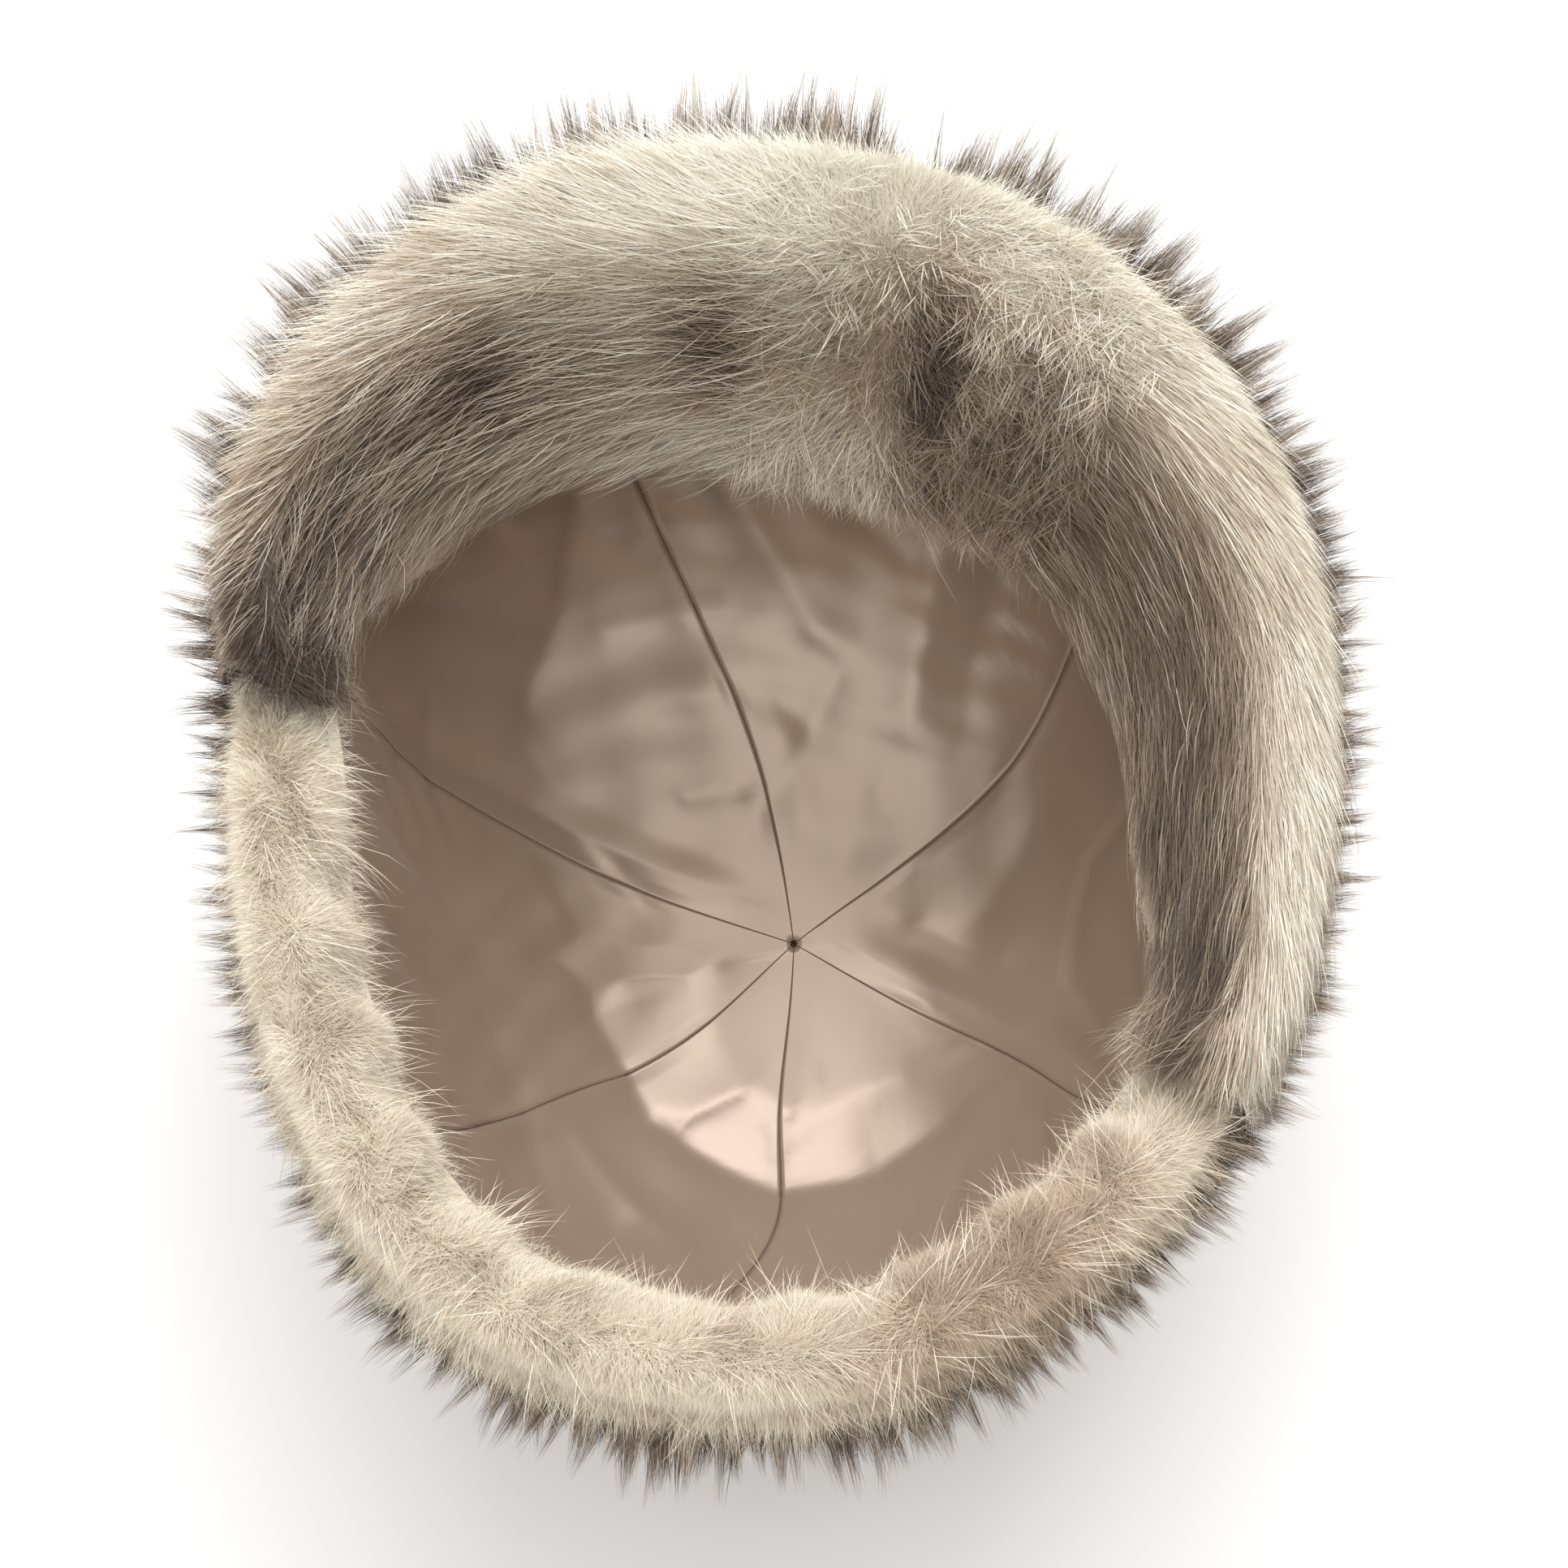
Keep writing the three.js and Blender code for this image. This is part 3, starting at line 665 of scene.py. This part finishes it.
def skin_piece(name, place, bearings, steps, tone, node):
    """The skin and underfur: a grid round the hat, closed along its section."""
    def on_grid(around, across):
        return place(blend(*bearings, around), across)
    grid = sheet_mesh(on_grid, steps)
    bmesh.ops.remove_doubles(grid, verts=grid.verts, dist=1e-5)
    open_edges = [edge for edge in grid.edges if edge.is_boundary]
    if open_edges:
        bmesh.ops.holes_fill(grid, edges=open_edges, sides=0)
    bmesh.ops.recalc_face_normals(grid, faces=grid.faces)
    skin = piece_of(name, grid, underfur_finish(name))
    points = np.array([vertex.co for vertex in skin.data.vertices]) / MM
    shades = skin.data.attributes.new("tone", "FLOAT", "POINT")
    shades.data.foreach_set("value", tone(points).astype(np.float32))
    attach(skin, "root")
    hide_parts(node)


def bearing_of(points):
    return np.degrees(np.arctan2(points[:, 1] - AXIS[1], points[:, 0] - AXIS[0]))


def crown_outside(bearing, climb):
    climb = np.clip(climb, 0, 1)
    reach, rise = dome_section(climb, FUR_ROUNDNESS)
    height = np.maximum(blend(-FLATTENED, SEAT_HEIGHT, rise), 0)
    return polar(bearing, (outline("crest", bearing) + 1) * reach, height)


def crown_depth(bearing, climb):
    return 1.5 + 3 * ease(climb, 0.2, 0.5) + 0 * bearing


crown = Pelt(crown_outside, (0, 360), (0.03, 0.97), crown_depth)
# Shares of the crown's section: where its outside ends, and where its edge does
OUTSIDE_SHARE = 0.6
SEAT_SHARE = 0.68
SKIN_CLEARANCE = 0.2          # from the satin's deepest crease to the crown's inner face


def crown_section(bearing, share):
    """From the crown's tip up its skin, over the edge and down behind the lining."""
    outside = crown.skin(bearing, np.clip(share / OUTSIDE_SHARE, 0.004, 0.985))
    climb = np.clip((1 - share) / (1 - SEAT_SHARE), 0.0, 1)
    behind = DEEPEST + SATIN_THICKNESS + SKIN_CLEARANCE
    inside = behind_lining(bearing, climb, np.full(np.shape(climb), behind))
    seat = np.clip((share - OUTSIDE_SHARE) / (SEAT_SHARE - OUTSIDE_SHARE), 0, 1)[..., None]
    return blend(outside, inside, seat)


# Darker towards the edge: partly the fur's own tone meeting the dark edge coat, and partly painted shade
# under the edge fringe.
def crown_tone(bearing, climb):
    return 0.66 - 0.2 * ease(climb, 0.35, 0.8) + 0.08 * ripples(bearing * 2, climb * 150, 70, 8)


skin_piece("crown_skin", crown_section, (0, 360), CROWN_STEPS,
           lambda points: np.full(len(points), 0.42), "fur_crown")
crown_hair = hair_finish("crown_hair", tip_shift=-0.25, root_shift=-0.05, roughness=0.5, sheen=0.2)
edge_hair = hair_finish("edge_hair", tip_shift=-0.45, root_shift=0, roughness=0.5, sheen=0.3)


def up_the_crown(bearing, climb):
    ones = np.ones_like(bearing)
    return 0.25 * ripples(bearing, climb * 200, 60, 5), ones, ones


def crown_lift(bearing, climb):
    flare = ease(climb, 0.3, 0.85)
    return blend(0.12, 0.22, flare), blend(0.02, 0.05, flare)


grow_fur(
    "crown_fur", crown, crown_hair, seed=11, locks=7500, hairs=7, steps=2,
    length=(13, 18), width=(0.5, 0.9), spread=1.8, gather=0.75,
    heading=up_the_crown, lift=crown_lift, tone=crown_tone, uneven_tone=(0.07, 0.08),
    reach=lambda bearing, climb: 1 - 0.5 * ease(climb, 0.65, 0.9),
)

# Longer hair stands out round the edge: a dense coat, and pointed tufts with dark tips past it.
# It parts in line with the flap.
FUR_PARTING = 80              # its bearing
EDGE_ROOT_DEPTH = 2.5         # millimetres of an edge hair under the fur's face
EDGE_LEAN = 0.74              # the share of an edge hair's length that reaches outwards
EDGE_TONES = (0.6, 0.64, 0.68, 0.72, 0.64, 0.52, 0.46, 0.48, 0.58, 0.66, 0.66, 0.62)
edge_band = Pelt(crown_outside, (0, 360), (0.8, 0.985), crown_depth)


def edge_heading(bearing, climb):
    """Up and outwards, swept aside at the back right."""
    sweep = 0.4 * bell(bearing, 50, 30)
    ones = np.ones_like(bearing)
    return 0.3 * ripples(bearing, climb * 80, 9, 6) - sweep, ones, ones


def edge_lift(bearing, climb):
    return 0.95, 0.88 + 0.16 * ripples(bearing, climb * 100, 9, 9)


def edge_reach(bearing, climb):
    bare = bell(bearing, FUR_PARTING, 2.2)
    return (outline("fringe", bearing) + EDGE_ROOT_DEPTH) / EDGE_LEAN * (1 - 0.6 * bare)


def coat_reach(bearing, climb):
    """Shorter at the left and the front, where the tufts stand apart."""
    apart = ease(bearing, 130, 165) * (1 - ease(bearing, 290, 325))
    return edge_reach(bearing, climb) * (1 - 0.28 * apart)


def edge_tone(bearing, climb):
    around = smooth_column(EDGE_TONES, (bearing % 360) / 360, closed=True)
    return around + 0.08 * ripples(bearing, climb * 60, 12, 10)


def edge_density(bearing, climb):
    """Denser close under the edge."""
    return 0.25 + ease(climb, 0.84, 0.95)


grow_fur(
    "crown_edge_fur", edge_band, edge_hair, seed=12, locks=5200, hairs=13, steps=1,
    length=(0.4, 0.78), width=(0.2, 0.4), spread=1.5, gather=0.6,
    heading=edge_heading, lift=edge_lift, reach=coat_reach, density=edge_density,
    tone=lambda b, s: edge_tone(b, s) - 0.3, uneven_tone=(0.08, 0.2),
)
grow_fur(
    "crown_edge_tufts", edge_band, edge_hair, seed=13, locks=1150, hairs=32, steps=1,
    length=(0.62, 1.0), width=(0.16, 0.32), spread=1.5, gather=0.9,
    heading=edge_heading, lift=edge_lift, reach=edge_reach, density=edge_density, tone=edge_tone,
    uneven_tone=(0.12, 0.3),
)

# The front rim: a narrow strip of pale fur rolled over the edge, woolly and a little lumpy.
FLAP_RIGHT_END = -38          # bearings
FLAP_LEFT_END = 169
END_GAP = 0.4                 # degrees between the rim's ends and the flap's
LEAF_CLEARANCE = 1.2          # millimetres between the lining and a band's inner face
SEAT_GAP = 0.3
TOP = CREST_HEIGHT - SEAT_HEIGHT - SEAT_GAP


def smooth_loop(rows, share):
    """Reads a closed list of columns at a share round it, one value a point."""
    stack = np.stack(rows)
    place = np.asarray(share) * len(rows)
    start = np.floor(place).astype(int)
    near = [
        np.take_along_axis(stack, ((start + step) % len(rows))[None], 0)[0] for step in (-1, 0, 1, 2)
    ]
    return smooth_curve(*near, place - start)


def band_place(section, start, end, end_size, taper):
    """The outer face of a fur band. section gives rows of places out and up at its bearings. Its
    ends go down to the shares of width and height in end_size, over a taper in degrees."""
    def place(bearing, across):
        bearing, across = np.broadcast_arrays(bearing, across)
        out_rows, up_rows = section(bearing)
        full = ease(np.minimum(bearing - start, end - bearing), 0, taper)
        out = blend(-RIM_WIDTH / 4, smooth_loop(out_rows, across), blend(end_size[0], 1, full))
        up = smooth_loop(up_rows, across) * blend(end_size[1], 1, full)
        out = np.where(up < 0, np.minimum(out, -RIM_WIDTH - LEAF_CLEARANCE), out)
        return polar(bearing, outline("crest", bearing) + out, SEAT_HEIGHT + SEAT_GAP + up)
    return place


def rim_section(bearing):
    lumps = 1.5 * ripples(bearing * 2, 0, 26, 3)
    out = (0, 0.8, 0.2, -3.4, -9, -14, -17.4, -18.8, -18.5, -9)
    up = (0, 0.4, 0.75, 0.97, 1, 0.86, 0.58, 0.25, 0, 0)
    swell = (0, 0.2, 0.6, 0.8, 0.8, 1, 1.2, 1, 0, 0)
    inwards = (0, 0, 0, 0, 0, 0.6, 1, 1, 0.6, 0)
    return (
        [row - lumps * share for row, share in zip(out, inwards)],
        [row * TOP + lumps * share for row, share in zip(up, swell)],
    )


RIM_START, RIM_END = FLAP_LEFT_END + END_GAP, 360 + FLAP_RIGHT_END - END_GAP
RIM_FUR_SHARE = 0.84          # of the way round its section, where the fur ends
RIM_TOP_SHARE = 0.42
rim_outside = band_place(rim_section, RIM_START, RIM_END, (0.75, 0.25), 15)


def rim_depth(bearing, across):
    """None at the rim's lower edges."""
    bottom = np.abs((across - RIM_TOP_SHARE) / RIM_TOP_SHARE)
    return 3.4 * (1 - ease(bottom, 0.75, 1)) + 0 * bearing


rim = Pelt(rim_outside, (RIM_START, RIM_END), (0.0, RIM_FUR_SHARE), rim_depth)


def rim_tone(bearing, across):
    taupe = 0.1 * bell(bearing, 262, 9) * ease(across, 0.4, 0.6)
    taupe = taupe + 0.28 * ease(bearing, 266, 288) * (1 - 0.75 * ease(bearing, 292, 312))
    return 0.99 - taupe + 0.03 * ripples(bearing * 2, across * 60, 22, 23)


skin_piece("rim_skin", rim.skin, (RIM_START + 1, RIM_END - 1), (110, 28),
           lambda points: np.full(len(points), 0.86), "front_rim")
rim_hair = hair_finish("rim_hair", tip_shift=0.03, root_shift=-0.06, roughness=0.7, sheen=0.4,
                       tint=(1, 0.96, 0.915))


def rim_heading(bearing, across):
    along = 0.4 + 0.7 * ripples(bearing * 2, across * 60, 26, 21)
    up = (across - RIM_TOP_SHARE) * 3.5 + 0.7 * ripples(bearing * 2, across * 60, 16, 22)
    return along, up, np.ones_like(bearing)


def rim_density(bearing, across):
    """Denser on the inner side, where hair hangs over the lining."""
    return 1 + 0.6 * ease(across, 0.45, 0.65)


grow_fur(
    "rim_underfur", rim, rim_hair, seed=21, locks=24000, hairs=7, steps=1,
    length=(3.8, 5.6), width=(0.16, 0.3), spread=0.9, gather=0.2, density=rim_density,
    heading=rim_heading, lift=lambda b, s: (1.0, 0.6), tone=rim_tone,
    disorder=0.7, uneven_tone=(0.04, 0.05),
)
grow_fur(
    "rim_guard_hair", rim, rim_hair, seed=22, locks=800, hairs=3, steps=3,
    length=(9, 18), width=(0.1, 0.17), spread=1.6, gather=0.4, density=rim_density,
    heading=rim_heading, lift=lambda b, s: (0.7, 0.35),
    tone=lambda b, s: 0.9 + 0 * b, disorder=0.45,
)

rim_edge = Pelt(rim_outside, (RIM_START, RIM_END), (0.0, 0.13), rim_depth)
grow_fur(
    "rim_edge_hair", rim_edge, rim_hair, seed=23, locks=1500, hairs=8, steps=1,
    length=(6, 11), width=(0.14, 0.26), spread=1.6, gather=0.6,
    heading=lambda b, s: (0.5 * ripples(b * 2, s * 60, 18, 24), -np.ones_like(b), np.ones_like(b)),
    lift=lambda b, s: (1.1, 0.9), tone=lambda b, s: rim_tone(b, s) - 0.08, uneven_tone=(0.06, 0.14),
)

# The neck flap: a deep band of long mink sewn round the back and sides and folded over the edge,
# its inner leaf inside the hat. A dark back stripe runs along it, and the fur parts at the back.
# In equal steps from the flap's right end to its left, in millimetres: how far it reaches in from
# the crest's line, and how far it hangs down from its top
FLAP = {
    "reach": (22, 31, 37, 43, 47, 45, 32, 19),
    "drop": (24, 46, 56, 61, 62, 60, 50, 22),
}
FLAP_BACKING_GAP = 2.4        # from the lining to the flap's back
FLAP_STAND_OFF = 6            # how much further its lower edge stands off
FLAP_LEAST_DEPTH = 2
FLAP_ROWS = 14                # of its section
FLAP_FUR_ROWS = 10.8          # of them, with fur
# The back stripe in equal steps from the flap's right end to its left: the section row that it
# follows, its half width in rows, and how dark it is
STRIPE = {
    "row": (4.8, 6.4, 6.8, 6.7, 6.4, 6.3, 6.7, 6.6, 6.2, 6.1, 6.3, 6.0, 5.8, 5.0, 4.2),
    "width": (1.6, 2.5, 2.5, 2.5, 2.6, 2.4, 1.9, 1.4, 1.0, 0.8, 1.0, 1.2, 1.6, 2.7, 3.6),
    "dark": (1.1, 1.15, 1.1, 1, 0.9, 0.9, 0.85, 0.8, 0.3, 0.6, 0.4, 0.8, 0.75, 1.0, 1.2),
}


def lining_radius(bearing, height):
    """How far the lining lies from the axis at a height."""
    rise = np.clip((height - LINING_TIP) / (SEAT_HEIGHT - LINING_TIP), 0, 1)
    reach = (1 - (1 - rise) ** LINING_ROUNDNESS) ** (1 / LINING_ROUNDNESS)
    return edge_radius(bearing) * reach


def flap_share(bearing):
    """From 0 at the flap's right end to 1 at its left."""
    return np.clip((bearing - FLAP_RIGHT_END) / (FLAP_LEFT_END - FLAP_RIGHT_END), 0, 1)


def flap_section(bearing):
    """From the outer edge over the crest, down the inner leaf and back up behind it."""
    reach = smooth_column(FLAP["reach"], flap_share(bearing))
    low = TOP - smooth_column(FLAP["drop"], flap_share(bearing))
    hang = np.minimum(low, -2)

    def wall(up, clearance):
        clear = lining_radius(bearing, SEAT_HEIGHT + up) - clearance - outline("crest", bearing)
        return np.maximum(clear, FLAP_LEAST_DEPTH - reach)

    flat = np.zeros(np.shape(bearing))
    edge = wall(hang, FLAP_BACKING_GAP + FLAP_STAND_OFF)
    rows = (
        (1, 0), (3, TOP * 0.4), (2, TOP * 0.78), (-4, TOP), (-13, TOP * 0.98),
        (-0.5 * reach - 2, TOP * 0.72), (-0.76 * reach, blend(TOP * 0.5, hang, 0.24)),
        (-0.93 * reach, blend(TOP * 0.5, hang, 0.5)), (-reach, blend(TOP * 0.5, hang, 0.76)),
        (-0.97 * reach, hang + 3), (blend(-reach, edge, 0.5), hang),
        (edge, np.minimum(hang + 2, hang * 0.8)),
        (wall(hang * 0.5, FLAP_BACKING_GAP + FLAP_STAND_OFF / 3), hang * 0.5),
        (wall(flat, FLAP_BACKING_GAP), 0),
    )
    return [row[0] + flat for row in rows], [row[1] + flat for row in rows]


flap_outside = band_place(flap_section, FLAP_RIGHT_END, FLAP_LEFT_END, (0.95, 0.75), 5)


def from_flap_end(bearing):
    """Degrees to the flap's nearer end."""
    return np.minimum(bearing - FLAP_RIGHT_END, FLAP_LEFT_END - bearing)


def flap_depth(bearing, across):
    """Less on the thin inner leaf, and none on its backing."""
    row = across * FLAP_ROWS
    thin = 0.8 * (1 - ease(from_flap_end(bearing), 4, 30)) * ease(row, 5, 7)
    return 5 * (1 - ease(row, 8.5, 10.5)) * (1 - thin) * ease(row, 0, 1.5)


flap = Pelt(flap_outside, (FLAP_RIGHT_END, FLAP_LEFT_END), (0.0, FLAP_FUR_ROWS / FLAP_ROWS), flap_depth)

# Smaller dark places: bearing, row, half widths along (degrees) and across (rows), darkness
DARK_SPOTS = (
    (73, 6.1, 4, 1.2, 0.68),
    (70, 7.6, 5, 0.9, 0.42),
    (98, 6.2, 6, 0.85, 0.7),
    (124, 6.0, 6, 0.85, 0.68),
)


def flap_heading(bearing, across):
    """Along both arms away from the parting, and over the crest on the left arm."""
    row = across * FLAP_ROWS
    past = (bearing - FUR_PARTING) * 2.1
    near = bell(bearing, FUR_PARTING, 14)
    left = ease(bearing, FUR_PARTING, FUR_PARTING + 25)
    outer = blend(0.05 * (row - 7), 0.16 * (row - 7.2), left)
    return (
        np.tanh(past / 10) + 0.05 * ripples(bearing * 2, row * 8, 40, 31),
        outer + (row - 6) * 0.1 * near + blend(0.05, 0.13, left) * ripples(bearing * 2, row * 8, 34, 32),
        blend(0.4, 1, left) + 3 * near,
    )


def flap_lift(root, tip):
    """Angles off the skin. The hair stands up at the parting, and passes over the rim's ends."""
    def lift(bearing, across):
        near = bell(bearing, FUR_PARTING, 8) * (1 - 0.6 * ease(across * FLAP_ROWS, 6.5, 8.5))
        over_end = 0.5 * (1 - ease(from_flap_end(bearing), 1, 9))
        right = 1 - 0.3 * (1 - ease(bearing, 70, 100))
        return blend(root * right + over_end, 1.35, near), blend(tip * right + over_end, 1.2, near)
    return lift


def flap_tone(bearing, across):
    """Pale, with the dark stripe and spots, and a little painted shade on the inner leaf inside the hat.
    """
    row = across * FLAP_ROWS
    share = flap_share(bearing)
    off = (row - smooth_column(STRIPE["row"], share)) / smooth_column(STRIPE["width"], share)
    dark = 0.5 * np.exp(-off ** 2) * smooth_column(STRIPE["dark"], share)
    for spot_bearing, spot_row, wide, tall, strength in DARK_SPOTS:
        away = ((bearing - spot_bearing) / wide) ** 2 + ((row - spot_row) / tall) ** 2
        dark = np.maximum(dark, strength * np.exp(-away))
    pale = blend(0.93, 0.81, ease(bearing, 88, 125) * ease(row, 1, 3.5))
    back = 0.1 * bell(bearing, 98, 16)
    left_end = 0.05 * ease(bearing, 138, 160) * ease(row, 1, 3)
    crest = 0.08 * bell(bearing, FUR_PARTING, 12) * (1 - ease(row, 3, 5))
    # painted shade: the inner leaf is made a little darker where it lies inside the hat
    inner = 0.08 * ease(row, 4, 7)
    mottled = 0.05 * ripples(bearing * 2, row * 8, 26, 33)
    return pale + back - left_end + crest - inner - dark + mottled


def flap_skin_tone(points):
    """The skin's tone from how far its points lie inside the crest."""
    bearing = bearing_of(points)
    bearing = np.where(bearing < FLAP_RIGHT_END - 20, bearing + 360, bearing)
    rows = np.linspace(0, 10, 41) / FLAP_ROWS
    nearest = np.full(len(points), 0.5)
    closest = np.full(len(points), 1e9)
    for row in rows:
        gap = np.linalg.norm(flap.skin(bearing, np.full(len(points), row)) - points, axis=1)
        nearest = np.where(gap < closest, row, nearest)
        closest = np.minimum(gap, closest)
    return flap_tone(bearing, nearest) - 0.12


skin_piece("flap_skin", flap.skin, (FLAP_RIGHT_END + 1, FLAP_LEFT_END - 1), (150, 40),
           flap_skin_tone, "neck_flap")
soft_hair = hair_finish("soft_hair", tip_shift=0.04, root_shift=-0.07, roughness=0.65, sheen=0.3)
guard_hair = hair_finish("guard_hair", tip_shift=0.04, root_shift=-0.05, roughness=0.35, sheen=0.2)


def flap_reach(bearing, across):
    """Shorter round the parting, over the crest and on the inner edge. At the flap's ends it is
    shorter outside and longer inside, where it lies over the rim."""
    row = across * FLAP_ROWS
    edge = ease(row, 6.5, 9)
    parted = 1 - 0.45 * bell(bearing, FUR_PARTING, 10) * (1 - edge)
    inner = 1 - 0.3 * edge * (1 - bell(bearing, FUR_PARTING, 20))
    crest = 1 - 0.4 * (1 - ease(row, 1.5, 4)) * ease(bearing, 40, 60)
    end = 1 - ease(from_flap_end(bearing), 2, 14)
    return parted * inner * crest * (1 + end * blend(-0.45, 0.3, ease(row, 2, 4)))


grow_fur(
    "flap_underfur", flap, soft_hair, seed=31, locks=65000, hairs=3, steps=1,
    length=(7, 11), width=(0.18, 0.34), spread=1.0, gather=0.2, reach=flap_reach,
    heading=flap_heading, lift=flap_lift(0.5, 0.25), tone=flap_tone, uneven_tone=(0.03, 0.05),
)
grow_fur(
    "flap_hair", flap, soft_hair, seed=32, locks=12000, hairs=3, steps=2,
    length=(11, 17), width=(0.12, 0.22), spread=1.4, gather=0.25, reach=flap_reach,
    heading=flap_heading, lift=flap_lift(0.5, 0.14), tone=flap_tone, uneven_tone=(0.05, 0.06),
)

# Round the parting the hair is fluffy and lies in all directions.
parting = Pelt(flap_outside, (48, 100), (3 / FLAP_ROWS, 9.8 / FLAP_ROWS), flap_depth)


def fluff_density(bearing, across):
    """Most to the right of the parting and along the inner edge below it."""
    row = across * FLAP_ROWS
    right = np.exp(-((bearing - 60) / 8) ** 2 - ((row - 5.2) / 2) ** 2)
    inner = 1.3 * bell(bearing, FUR_PARTING, 14) * ease(row, 7, 8.5)
    return 0.03 + right + inner


grow_fur(
    "parting_fluff", parting, soft_hair, seed=34, locks=1350, hairs=7, steps=2,
    length=(8, 15), width=(0.12, 0.22), spread=1.2, gather=0.6, density=fluff_density,
    heading=lambda b, s: (-0.2 * np.ones_like(b), ease(s * FLAP_ROWS, 6, 8), np.ones_like(b)),
    lift=lambda b, s: (1.0, 0.5), disorder=1.1,
    tone=lambda b, s: flap_tone(b, s) - 0.06 * ease(s * FLAP_ROWS, 6, 8), uneven_tone=(0.06, 0.08),
)


def guard_density(bearing, across):
    """Few guard hairs at the parting and the ends and on the smooth pale crest at the right."""
    row = across * FLAP_ROWS
    right = 1 - ease(bearing, 80, 100)
    few = (1 - 0.85 * right * (1 - ease(row, 3.5, 5))) * (1 - 0.4 * right)
    return few * (1 - 0.8 * bell(bearing, FUR_PARTING, 6)) * ease(from_flap_end(bearing), 4, 14)


def guard_tone(bearing, across):
    pale = blend(0.2, 0.55, ease(bearing, 60, 95))
    return blend(flap_tone(bearing, across), 0.95, pale)


grow_fur(
    "flap_guard_hair", flap, guard_hair, seed=33, locks=3000, hairs=3, steps=3,
    length=(18, 27), width=(0.1, 0.18), spread=1.8, gather=0.4, reach=flap_reach,
    heading=flap_heading, lift=flap_lift(0.6, 0.1), disorder=0.14, uneven_tone=(0.08, 0.08),
    tone=guard_tone, density=guard_density,
)

# The stage: a plain pale floor, and soft light from a wide window behind the hat, a ceiling over
# it and a weak lamp in front.
FLOOR_COLOUR = (0.94, 0.94, 0.94)
floor_grid = bmesh.new()
bmesh.ops.create_grid(floor_grid, x_segments=1, y_segments=1, size=3)
floor_material = Finish("floor").surface({"Base Color": (*FLOOR_COLOUR, 1), "Roughness": 0.9})
floor = piece_of("floor", floor_grid, floor_material, smooth=False)

LIGHT_AIM = Vector((0, 0, 0.08))
LIGHTS = (
    dict(name="window", place=(0.08, 1.0, 1.1), size=(1.35, 0.42), power=15),
    dict(name="ceiling", place=(-0.05, 0.05, 1.7), size=(2.4, 1.3), power=14.5),
    dict(name="front_fill", place=(-0.5, -1.3, 1.1), size=(0.8, 0.8), power=2),
)
for light in LIGHTS:
    lamp_data = bpy.data.lights.new(light["name"], "AREA")
    lamp_data.shape = "RECTANGLE"
    lamp_data.size, lamp_data.size_y = light["size"]
    lamp_data.energy = light["power"]
    lamp = bpy.data.objects.new(light["name"], lamp_data)
    lamp.location = light["place"]
    lamp.rotation_euler = (Vector(light["place"]) - LIGHT_AIM).to_track_quat("Z", "Y").to_euler()
    bpy.context.collection.objects.link(lamp)

world = bpy.data.worlds.new("studio")
world.use_nodes = True
background = world.node_tree.nodes["Background"].inputs
background["Color"].default_value = (1, 0.98, 0.95, 1)
background["Strength"].default_value = 0.65
bpy.context.scene.world = world
bpy.context.scene.view_settings.view_transform = "Standard"
